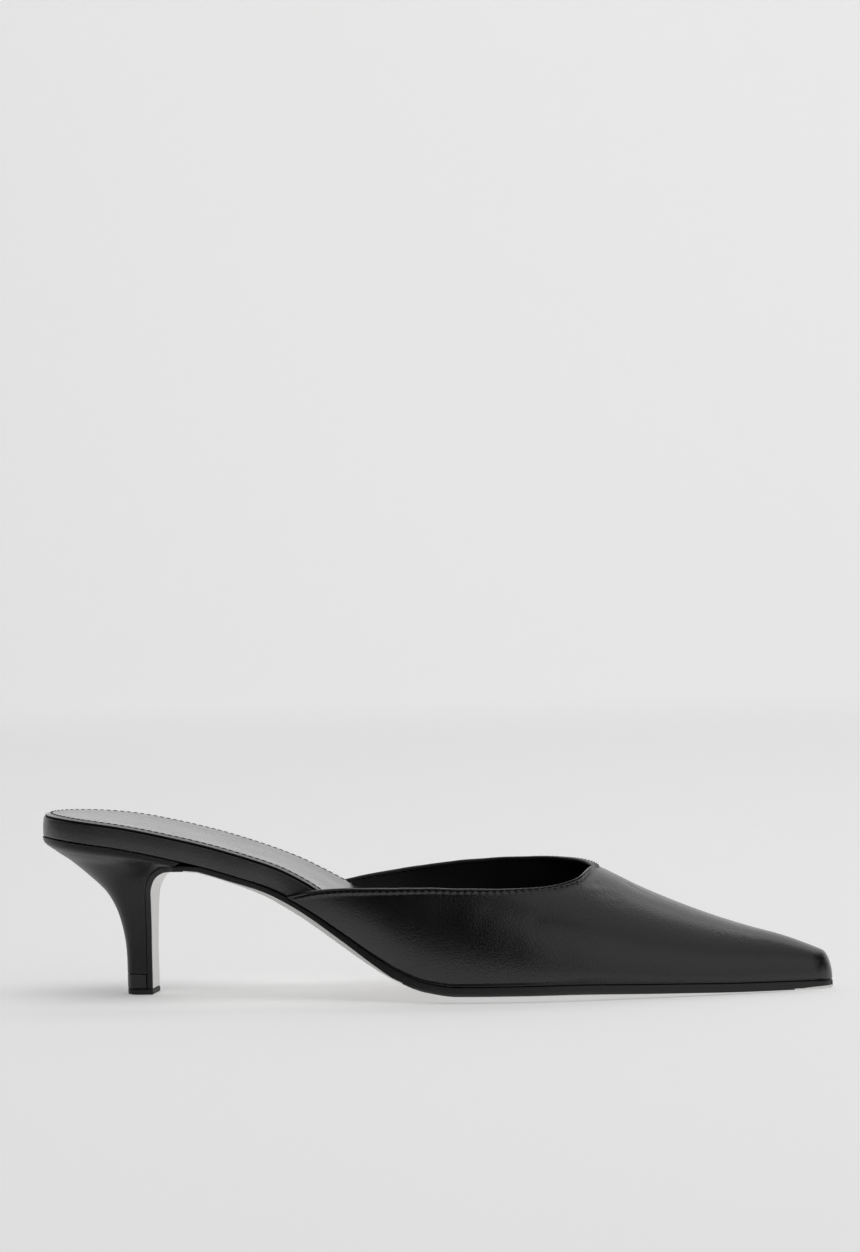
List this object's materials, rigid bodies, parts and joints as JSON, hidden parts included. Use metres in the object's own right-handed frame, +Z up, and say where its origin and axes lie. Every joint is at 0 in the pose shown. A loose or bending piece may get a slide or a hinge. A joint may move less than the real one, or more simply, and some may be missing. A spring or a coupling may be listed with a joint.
{
  "type": "closed toe mule",
  "caption": "Backless slip-on shoe with a closed pointed toe, an open collar, a leather-wrapped footbed edge and a slim low heel, in smooth black leather.",
  "frame": {"origin": "on the floor, under the middle of the shoe's bounding box", "axes": "+X to the toe, +Y to the inner (medial) side, +Z up"},
  "size_m": [0.2619, 0.077, 0.0613],
  "materials": {
    "upper_leather": "smooth, satin",
    "wrap_leather": "smooth, satin",
    "sock_leather": "smooth, satin",
    "sole_leather": "sealed, with a black edge",
    "heel_leather": "smooth, satin",
    "tip_plastic": "satin",
    "lift_rubber": "matt"
  },
  "bodies": {
    "root": {"upper": "upper_leather", "insole_platform": "wrap_leather", "insole_sock": "sock_leather", "outsole": "sole_leather", "heel": "heel_leather", "heel_tip": "tip_plastic", "top_lift": "lift_rubber"}
  },
  "joints": []
}
